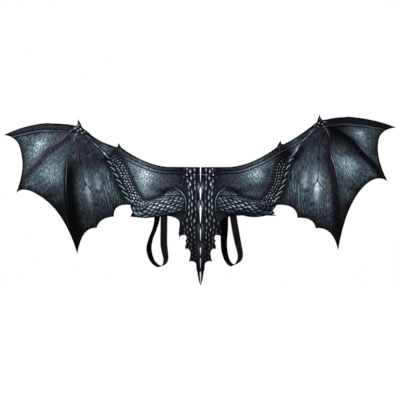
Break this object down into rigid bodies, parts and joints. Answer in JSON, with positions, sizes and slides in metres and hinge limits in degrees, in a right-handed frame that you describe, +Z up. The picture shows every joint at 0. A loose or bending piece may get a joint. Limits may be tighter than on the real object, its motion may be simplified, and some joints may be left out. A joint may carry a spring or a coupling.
{
  "type": "costume wings",
  "caption": "Dragon-style costume wings: a cut sheet of printed cloth with a pointed tail, a sewn casing along its top edge and elastic arm loops behind.",
  "frame": {"origin": "back face of the cloth in the middle of the back panel, where it lies against the wearer", "axes": "+X from the left wing tip to the right one as seen from the printed front, +Y from the cloth toward the wearer's back, +Z up"},
  "size_m": [1.4, 0.129, 0.613],
  "materials": {
    "printed_cloth": "matte needled non-woven cloth with a printed hide pattern",
    "casing_tape": "matte black cotton tape",
    "elastic": "ribbed black woven elastic"
  },
  "bodies": {
    "root": {"wing_sheet": "printed_cloth", "top_casing": "casing_tape", "arm_strap_left": "elastic", "arm_strap_right": "elastic"}
  },
  "joints": []
}
